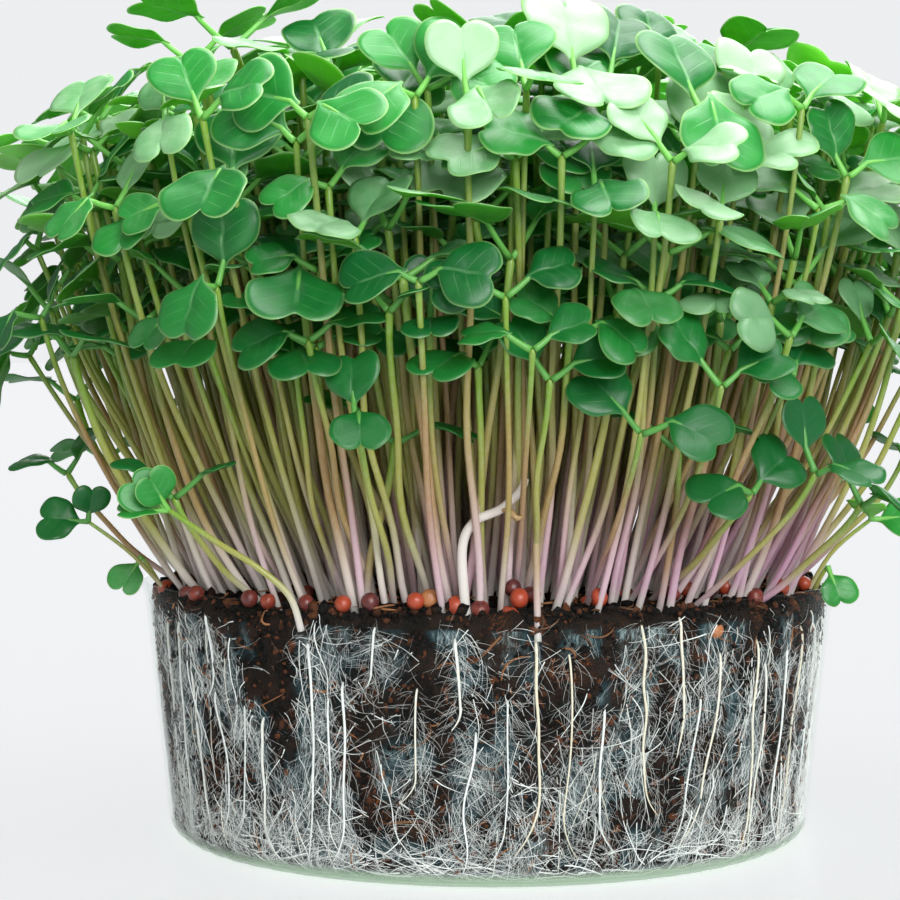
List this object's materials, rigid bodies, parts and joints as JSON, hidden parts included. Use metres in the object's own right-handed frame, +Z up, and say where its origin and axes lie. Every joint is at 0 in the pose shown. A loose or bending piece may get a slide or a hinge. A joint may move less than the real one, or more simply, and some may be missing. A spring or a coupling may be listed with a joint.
{
  "type": "microgreens tray",
  "caption": "Round clear tub of dark growing mix, laced with white roots, with a dense dome of notched-leaf microgreens.",
  "frame": {"origin": "middle of the tub's flat base, at the surface it stands on", "axes": "+Z up out of the tub, -Y towards the front that the picture shows, +X to the right of that view"},
  "size_m": [0.1561, 0.1606, 0.1294],
  "materials": {
    "clear_tub": "thin clear plastic, smooth and glossy, with a faint green tint at the thick heel",
    "growing_mix": "dark damp coco peat, crumbly and rough, with red-brown fibres",
    "roots": "cream-white fine roots with a soft haze of root hairs, satin",
    "seed_coats": "brick-red to dark purple-brown seed coats, slightly glossy",
    "stems": "smooth moist stems, white to pink at the foot and yellow-green at the fork",
    "leaves": "smooth waxy seed leaves, blue-green above and bright yellow-green below"
  },
  "bodies": {
    "root": {"root_net": "roots", "seedlings_01": "leaves", "seedlings_02": "leaves", "seedlings_03": "leaves", "seedlings_04": "leaves", "seedlings_05": "leaves", "seedlings_06": "leaves", "seedlings_07": "leaves", "seedlings_08": "leaves", "seedlings_09": "leaves", "seedlings_10": "leaves", "seedlings_11": "leaves", "seedlings_12": "leaves", "seedlings_13": "leaves", "seedlings_14": "leaves", "seedlings_15": "leaves", "seedlings_16": "leaves", "seedlings_17": "leaves", "seedlings_18": "leaves", "seedlings_19": "leaves", "seedlings_20": "leaves", "seedlings_21": "leaves", "seedlings_22": "leaves", "seedlings_23": "leaves", "seedlings_24": "leaves", "seedlings_25": "leaves", "seedlings_26": "leaves", "seedlings_27": "leaves", "seedlings_28": "leaves", "seedlings_29": "leaves", "seedlings_30": "leaves", "seedlings_31": "leaves", "seedlings_32": "leaves", "seedlings_33": "leaves", "seedlings_34": "leaves", "seedlings_35": "leaves", "seedlings_36": "leaves", "seedlings_37": "leaves", "seedlings_38": "leaves", "seedlings_39": "leaves", "seedlings_40": "leaves", "seedlings_41": "leaves", "seedlings_42": "leaves", "seedlings_43": "leaves", "seedlings_44": "leaves", "seedlings_45": "leaves", "seedlings_46": "leaves", "seedlings_47": "leaves", "seedlings_48": "leaves", "seedlings_49": "leaves", "seedlings_50": "leaves", "seedlings_51": "leaves", "seedlings_52": "leaves", "soil": "growing_mix", "tray": "clear_tub"}
  },
  "joints": []
}
